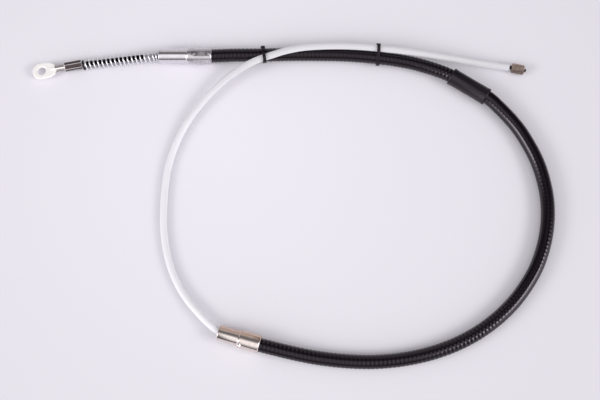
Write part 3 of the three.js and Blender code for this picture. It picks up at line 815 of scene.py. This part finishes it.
def eye_blank():
    """The flat eye: a ring between its outline and the pin hole, drawn up to its thickness."""
    bm = bmesh.new()
    half_line = [Vector((x, y, 0)) for x, y in EYE_OUTLINE]
    whole = [Vector((p.x, -p.y, 0)) for p in reversed(half_line[1:])] + half_line
    edge_points = smooth_line(whole, 0.0006)
    count = len(edge_points)
    edge_verts = [bm.verts.new(p) for p in edge_points]
    rim = [bm.edges.new(pair) for pair in zip(edge_verts, edge_verts[1:] + edge_verts[:1])]
    made = bmesh.ops.create_circle(bm, segments=count, radius=EYE_HOLE_R)["verts"]
    hole = list({edge for vert in made for edge in vert.link_edges})
    bmesh.ops.bridge_loops(bm, edges=rim + hole)
    lifted = bmesh.ops.extrude_face_region(bm, geom=bm.faces[:])["geom"]
    bmesh.ops.translate(
        bm, vec=(0, 0, EYE_THICKNESS), verts=[g for g in lifted if isinstance(g, bmesh.types.BMVert)]
    )
    bmesh.ops.recalc_face_normals(bm, faces=bm.faces)
    soften(bm, EYE_BEVEL, segments=3, angle=60)
    bmesh.ops.translate(bm, vec=(EYE_AT, 0, -EYE_THICKNESS / 2), verts=bm.verts)
    return bm


def joined_as_one(parts, voxel, rounds):
    """Closed shells made one skin, and smoothed where they run into each other."""
    whole = bmesh.new()
    for bm in parts:
        part = bpy.data.meshes.new("part")
        bm.to_mesh(part)
        bm.free()
        whole.from_mesh(part)
        bpy.data.meshes.remove(part)
    rough = add_piece("joining", whole, eye_plate)
    remesh = rough.modifiers.new("skin", "REMESH")
    remesh.mode = "VOXEL"
    remesh.voxel_size = voxel
    made = bpy.data.meshes.new_from_object(rough.evaluated_get(bpy.context.evaluated_depsgraph_get()))
    bpy.data.objects.remove(rough)
    bm = bmesh.new()
    bm.from_mesh(made)
    bpy.data.meshes.remove(made)
    for _ in range(rounds):
        bmesh.ops.smooth_vert(
            bm, verts=bm.verts, factor=0.5, use_axis_x=True, use_axis_y=True, use_axis_z=True
        )
    return bm


shank = turned([
    (SHANK_START, 0), (SHANK_START, SHANK_R - 0.0003), (SHANK_START + 0.0003, SHANK_R),
    (NECK_AT, SHANK_R), (NECK_AT + 0.0025, 0.0018), (NECK_AT + 0.0055, 0.0009), (NECK_AT + 0.0055, 0),
], 48, closed=False)
forging = joined_as_one([eye_blank(), shank], voxel=0.00017, rounds=5)
keep_stock_place(forging)
forging.transform(placement(EYE_PLACE))
eye = add_piece("eye_forging", forging, eye_plate, crease=60)
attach(eye, "eye_end")
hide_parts("eye_terminal")


# Wire rope. Galvanised steel, six strands laid round a core; it runs from the crimp sleeve through
# the whole cable to the nipple. Its two ends move, so each is a piece of its own here.
ROPE_LAY = 0.02
CRIMP_WIRE_DEPTH = 0.008
WIRE_ENTRY = [(0.008, 0.0012), (0.014, 0.0009), (0.02, 0.0003)]
WIRE_STICKOUT = 0.0015
NIPPLE_LENGTH = 0.0103
STRANDS = 6
rope_steel = new_finish(
    "rope_steel", light=(0.55, 0.54, 0.57), dark=(0.3, 0.29, 0.31), roughness=(0.3, 0.45),
    metallic=1, cloud=0.0015, fine=0.0002, bump=0.00002, stretch=(1, 3, 3),
)


def rope_stock(length, spacing, sides):
    """Straight strands round a core, then twisted together."""
    strand_r = ROPE_R / 3
    count = round(length / spacing)
    profile = [(0, 0), *((length * i / count, strand_r) for i in range(count + 1)), (length, 0)]
    rope = turned(profile, sides, closed=False)
    core = rope.verts[:] + rope.edges[:] + rope.faces[:]
    for strand in range(STRANDS):
        copy = bmesh.ops.duplicate(rope, geom=core)["geom"]
        verts = [g for g in copy if isinstance(g, bmesh.types.BMVert)]
        angle = 2 * math.pi * strand / STRANDS
        out = 2 * strand_r
        bmesh.ops.translate(rope, verts=verts, vec=(0, out * math.cos(angle), out * math.sin(angle)))
    keep_stock_place(rope)
    for vert in rope.verts:
        vert.co = Matrix.Rotation(2 * math.pi * vert.co.x / ROPE_LAY, 3, "X") @ vert.co
    return rope


greased_rope = new_finish(
    "greased_rope", light=(0.02, 0.017, 0.018), dark=(0.006, 0.005, 0.006), roughness=(0.4, 0.55),
    metallic=0.3, cloud=0.0015, fine=0.0002, bump=0.00002, stretch=(1, 3, 3), mirror=0.2,
)
pass_light(greased_rope, 0.9)


def add_rope(name, line, spacing, sides, finish=rope_steel):
    rope = rope_stock(length_of(line), spacing, sides)
    bend_along(rope, line)
    piece = add_piece(name, rope, finish)
    return piece


eye_side = smooth_line([
    station(EYE_PLACE, CRIMP_WIRE_DEPTH),
    station(EYE_PLACE, CRIMP_WIRE_DEPTH / 2),
    rope_start,
    rope_start + rope_axis * GUARD_START,
    rope_start + rope_axis * (GUARD_START + GUARD_LENGTH),
    WIRE_MOUTH,
    *(station(WHEEL_PLACE, along, side) for along, side in WIRE_ENTRY),
    conduit_line[0],
])
rope_eye = add_rope("rope_eye_end", eye_side, 0.0008, 10)
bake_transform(rope_eye)
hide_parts("inner_wire")

ROPE_TAIL_IN_TUBE = 60
rope_middle = add_rope(
    "rope_in_conduit", evenly([*conduit_line, *tube_line[:-ROPE_TAIL_IN_TUBE]], 0.001), 0.004, 6,
    greased_rope,
)
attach(rope_middle, "conduit")
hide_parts("inner_wire")

nipple_side = smooth_line([
    *tube_line[-ROPE_TAIL_IN_TUBE - 1::6],
    station(END_PLACE, 0),
    station(END_PLACE, NIPPLE_LENGTH / 2),
    station(END_PLACE, NIPPLE_LENGTH + WIRE_STICKOUT),
])
rope_nipple = add_rope("rope_nipple_end", nipple_side, 0.0008, 10, greased_rope)
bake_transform(rope_nipple)
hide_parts("inner_wire")


# Nipple. A turned steel barrel pressed on the end of the wire rope; it is the stop that the hand
# lever pulls on. Dark, with a warm tinge where the plate has worn.
NIPPLE_R = 0.004
NIPPLE_CHAMFER = 0.0006
nipple_plate = new_finish(
    "nipple_plate", light=(0.6, 0.46, 0.39), dark=(0.33, 0.25, 0.225), roughness=(0.34, 0.5),
    metallic=0.8, cloud=0.0025, fine=0.0003, bump=0.00002, mirror=0.3,
)
# The near side is painted darker, as painted shade
SHADED_SIDE = (-0.0012, -0.0004)
shade_colour(nipple_plate, fade(nipple_plate, stock_axis(nipple_plate, "Y"), *SHADED_SIDE, 0.5, 1.0))

profile = [
    (0, wire_bore), (0, NIPPLE_R - NIPPLE_CHAMFER), (NIPPLE_CHAMFER, NIPPLE_R),
    (NIPPLE_LENGTH - NIPPLE_CHAMFER, NIPPLE_R), (NIPPLE_LENGTH, NIPPLE_R - NIPPLE_CHAMFER),
    (NIPPLE_LENGTH, wire_bore),
]
barrel = turned(profile, 72)
soften(barrel, 0.00015)
keep_stock_place(barrel)
barrel.transform(placement(END_PLACE))
nipple = add_piece("nipple_barrel", barrel, nipple_plate)
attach(nipple, "nipple_end")
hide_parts("end_nipple")


# Cable ties. Moulded black nylon, drawn tight round the conduit and the guide tube and cut off
# short; the strap has a raised rail along each edge, and the head holds it with a tongue.
STRAP = 0.0009
TIE_WIDTH = 0.0025
TIE_GAP = 0.0004
HEAD_LONG = 0.0048
HEAD_WIDE = 0.0036
HEAD_HIGH = 0.0028
TAIL = 0.0013
TAIL_ROOT = 0.001
TIES = [
    {"name": "1", "x": -0.0206, "lean": 8, "slack": 0.0004, "head_place": 0.35},
    {"name": "2", "x": 0.0724, "lean": -3, "slack": 0.0001, "head_place": 0.65},
]
tie_nylon = new_finish(
    "tie_nylon", light=(0.014, 0.012, 0.014), dark=(0.007, 0.006, 0.007), roughness=(0.35, 0.5),
    metallic=0, cloud=0.003, fine=0.0003, bump=0.00001, mirror=0.3, tint=(1, 0.88, 1),
)


def strap_loop(bm, tube_at, big, small, steps=24):
    """A closed loop of edges round two circles, the conduit at the origin and the tube beside it."""
    bearing = math.atan2(tube_at.y, tube_at.x)
    spread = math.acos((big - small) / tube_at.length)
    arcs = [
        (tube_at, small, bearing - spread, bearing + spread),
        (Vector((0, 0)), big, bearing + spread, bearing - spread + 2 * math.pi),
    ]
    verts = []
    for centre, radius, first, last in arcs:
        for i in range(steps + 1):
            angle = first + (last - first) * i / steps
            spot = centre + Vector((math.cos(angle), math.sin(angle))) * radius
            verts.append(bm.verts.new((spot.x, spot.y, 0)))
    return [bm.edges.new(pair) for pair in zip(verts, verts[1:] + verts[:1])]


def tie_strap(tube_at, big, small):
    """The strap: a ring drawn up to its width, with a channel sunk between two rails."""
    bm = bmesh.new()
    inner = strap_loop(bm, tube_at, big, small)
    outer = strap_loop(bm, tube_at, big + STRAP, small + STRAP)
    bmesh.ops.bridge_loops(bm, edges=inner + outer)
    lifted = bmesh.ops.extrude_face_region(bm, geom=bm.faces[:])["geom"]
    bmesh.ops.translate(
        bm, vec=(0, 0, TIE_WIDTH), verts=[g for g in lifted if isinstance(g, bmesh.types.BMVert)]
    )
    bmesh.ops.translate(bm, vec=(0, 0, -TIE_WIDTH / 2), verts=bm.verts)
    bmesh.ops.recalc_face_normals(bm, faces=bm.faces)
    nearer = 0.5 * STRAP
    outside = []
    for face in bm.faces:
        middle = face.calc_center_median().to_2d()
        beyond = min(middle.length - big, (middle - tube_at).length - small)
        if abs(face.normal.z) < 0.5 and beyond > nearer:
            outside.append(face)
    bmesh.ops.inset_region(bm, faces=outside, thickness=TIE_WIDTH * 0.16, depth=0, use_even_offset=True)
    bmesh.ops.inset_region(bm, faces=outside, thickness=0.00008, depth=-0.00018, use_even_offset=True)
    return bm


def tie_head():
    """The head: a block with a window over the tongue, and the strap's cut tail beside it."""
    bm = bmesh.new()
    bmesh.ops.create_cube(bm, size=1, matrix=Matrix.Diagonal((HEAD_HIGH, HEAD_LONG, HEAD_WIDE, 1)))
    top = max(bm.faces, key=lambda face: face.calc_center_median().x)
    bmesh.ops.inset_region(bm, faces=[top], thickness=0.0007, use_even_offset=True)
    bmesh.ops.inset_region(bm, faces=[top], thickness=0.0001, depth=-0.0007, use_even_offset=True)
    soften(bm, 0.00025, segments=3, angle=50)
    tail = bmesh.ops.create_cube(bm, size=1, matrix=Matrix.Translation((
        (HEAD_HIGH - STRAP) / 2 - TIE_GAP, (HEAD_LONG + TAIL - TAIL_ROOT) / -2, 0,
    )) @ Matrix.Diagonal((STRAP, TAIL + TAIL_ROOT, TIE_WIDTH, 1)))["verts"]
    edges = list({edge for vert in tail for edge in vert.link_edges})
    bmesh.ops.bevel(
        bm, geom=edges, offset=0.00012, affect="EDGES", segments=2, profile=0.5, material=-1,
    )
    return bm


def crossing(line, x):
    """The point where a line first passes the given place along X."""
    i = next(i for i, point in enumerate(line) if point.x > x)
    return line[i - 1].lerp(line[i], (x - line[i - 1].x) / (line[i].x - line[i - 1].x))


for tie in TIES:
    centre = crossing(conduit_line, tie["x"] + TO_BOX_MIDDLE.x)
    offset = crossing(tube_line, tie["x"] + TO_BOX_MIDDLE.x) - centre
    tube_at = Vector((offset.y, offset.z))
    big = CONDUIT_D / 2 + TIE_GAP
    small = TUBE_R + TIE_GAP + tie["slack"]
    whole = tie_strap(tube_at, big, small)
    angle = math.atan2(tube_at.y, tube_at.x) - math.acos((big - small) / tube_at.length)
    out = Vector((math.cos(angle), math.sin(angle)))
    middle = (out * big).lerp(tube_at + out * small, tie["head_place"]) + out * HEAD_HIGH / 2
    head = tie_head()
    head.transform(Matrix.Translation((middle.x, middle.y, 0)) @ Matrix.Rotation(angle, 4, "Z"))
    added = bpy.data.meshes.new("head")
    head.to_mesh(added)
    head.free()
    whole.from_mesh(added)
    bpy.data.meshes.remove(added)
    keep_stock_place(whole)
    upright = Matrix.Rotation(math.pi / 2, 4, "Z") @ Matrix.Rotation(math.pi / 2, 4, "X")
    whole.transform(Matrix.Translation(centre) @ Matrix.Rotation(math.radians(tie["lean"]), 4, "Z") @ upright)
    strap = add_piece("tie_" + tie["name"], whole, tie_nylon)
    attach(strap, "conduit")
    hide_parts("cable_tie_" + tie["name"])


# Floor and light. A pale matt board with a painted pool of light, darker away from one spot; two large
# soft lamps to the left and the right, and a light room around them, whose dark bands and lit side
# walls show in the bright metal.
FLOOR_SIZE = 8.0
LIGHT_POOL_CENTRE = (-0.05, 0.06, 0.0)
LIGHT_POOL_FALL = (0.02, 0.32)
floor_mesh = bmesh.new()
bmesh.ops.create_grid(floor_mesh, x_segments=1, y_segments=1, size=FLOOR_SIZE / 2)
bmesh.ops.translate(floor_mesh, vec=(0, 0, -0.00005), verts=floor_mesh.verts)
floor_board = bpy.data.materials.new("floor_board")
floor_board.use_nodes = True
nodes, links = floor_board.node_tree.nodes, floor_board.node_tree.links
shader = nodes["Principled BSDF"]
shader.inputs["Roughness"].default_value = 0.9
shader.inputs["Specular IOR Level"].default_value = 0.0
place = nodes.new("ShaderNodeTexCoord")
paper = nodes.new("ShaderNodeTexNoise")
paper.inputs["Scale"].default_value = 3
board = nodes.new("ShaderNodeMix")
board.data_type = "RGBA"
board.inputs["A"].default_value = (0.85, 0.825, 0.885, 1)
board.inputs["B"].default_value = (0.865, 0.84, 0.895, 1)
away = nodes.new("ShaderNodeVectorMath")
away.operation = "DISTANCE"
away.inputs[1].default_value = LIGHT_POOL_CENTRE
links.new(place.outputs["Object"], paper.inputs["Vector"])
links.new(place.outputs["Object"], away.inputs[0])
links.new(paper.outputs["Fac"], board.inputs["Factor"])
links.new(board.outputs["Result"], shader.inputs["Base Color"])
# Painted pool of light: the board's colour darkens away from its centre
shade_colour(floor_board, fade(floor_board, away.outputs["Value"], *LIGHT_POOL_FALL, 1.0, 0.875))
floor = add_piece("floor", floor_mesh, floor_board)

LAMP_DISTANCE = 3.0
LAMP_LONG = 1.5
LAMP_HIGH = 0.9
LAMP_POWER = 29.0
for name, direction in (("left_lamp", (-0.79, -0.3, 0.54)), ("right_lamp", (0.77, -0.26, 0.58))):
    lamp = bpy.data.objects.new(name, bpy.data.lights.new(name, "AREA"))
    lamp.data.shape = "RECTANGLE"
    lamp.data.size = LAMP_LONG
    lamp.data.size_y = LAMP_HIGH
    lamp.data.energy = LAMP_POWER
    lamp.location = Vector(direction).normalized() * LAMP_DISTANCE
    lamp.rotation_euler = Vector(direction).to_track_quat("Z", "Y").to_euler()
    bpy.context.scene.collection.objects.link(lamp)

# Brightness by elevation, in degrees from the near horizon over the top to the far one: what bright
# metal mirrors, and the plain light that falls on everything
MIRRORED = [
    (0, 0.2), (16, 0.22), (24, 0.4), (36, 0.9), (52, 1.15), (80, 1.2), (88, 0.75), (97, 0.33),
    (104, 0.18), (128, 0.18), (136, 0.5), (150, 0.68), (180, 0.6),
]
FALLING = [(0, 0.87), (30, 0.95), (60, 0.95), (95, 0.73), (130, 0.34), (180, 0.26)]
# The bands reach only so far to the left and right, as places from -1 to 1; beyond them stand walls
REACH = [(-1, 0), (-0.5, 0), (-0.36, 1), (0.26, 1), (0.42, 0), (1, 0)]
WALLS = [(-1, 2.8), (-0.74, 2.8), (-0.6, 0.12), (0.55, 0.1), (0.74, 2.4), (1, 2.4)]
# The walls are lit on the near side only: places from -1, near, to 1, far
NEAR_SIDE = [(-1, 0.4), (-0.5, 1), (-0.12, 1), (0.15, 0.08), (1, 0.08)]
room = bpy.data.worlds.new("room")
room.use_nodes = True
bpy.context.scene.world = room
nodes, links = room.node_tree.nodes, room.node_tree.links
nodes.clear()


def ramp(stops, first, last, tint=(1, 1, 1)):
    """Grey levels between the first and the last place."""
    node = nodes.new("ShaderNodeValToRGB")
    for _ in stops[2:]:
        node.color_ramp.elements.new(0.5)
    for element, (spot, level) in zip(node.color_ramp.elements, stops):
        element.position = (spot - first) / (last - first)
        element.color = (level * tint[0], level * tint[1], level * tint[2], 1)
    return node


out = nodes.new("ShaderNodeOutputWorld")
place = nodes.new("ShaderNodeTexCoord")
split = nodes.new("ShaderNodeSeparateXYZ")
links.new(place.outputs["Generated"], split.inputs["Vector"])
toward = combine(room, "MULTIPLY", split.outputs["Y"], -1.0)
turn = combine(room, "DIVIDE", combine(room, "ARCTAN2", split.outputs["Z"], toward), math.pi)
aside = fade(room, split.outputs["X"], -1, 1)
depth = fade(room, split.outputs["Y"], -1, 1)
bands = ramp(MIRRORED, 0, 180, (1, 0.98, 1.01))
falling = ramp(FALLING, 0, 180, (0.985, 0.975, 1))
reach = ramp(REACH, -1, 1)
walls = ramp(WALLS, -1, 1, (1, 0.97, 1.03))
near_side = ramp(NEAR_SIDE, -1, 1)
lit_walls = nodes.new("ShaderNodeVectorMath")
lit_walls.operation = "MULTIPLY"
surround = nodes.new("ShaderNodeMix")
surround.data_type = "RGBA"
mirrored = nodes.new("ShaderNodeBackground")
plain = nodes.new("ShaderNodeBackground")
path = nodes.new("ShaderNodeLightPath")
choose = nodes.new("ShaderNodeMixShader")
links.new(turn, bands.inputs["Fac"])
links.new(turn, falling.inputs["Fac"])
links.new(aside, reach.inputs["Fac"])
links.new(aside, walls.inputs["Fac"])
links.new(reach.outputs["Color"], surround.inputs["Factor"])
links.new(depth, near_side.inputs["Fac"])
links.new(walls.outputs["Color"], lit_walls.inputs[0])
links.new(near_side.outputs["Color"], lit_walls.inputs[1])
links.new(lit_walls.outputs["Vector"], surround.inputs["A"])
links.new(bands.outputs["Color"], surround.inputs["B"])
links.new(surround.outputs["Result"], mirrored.inputs["Color"])
links.new(falling.outputs["Color"], plain.inputs["Color"])
links.new(path.outputs["Is Glossy Ray"], choose.inputs["Fac"])
links.new(plain.outputs["Background"], choose.inputs[1])
links.new(mirrored.outputs["Background"], choose.inputs[2])
links.new(choose.outputs["Shader"], out.inputs["Surface"])
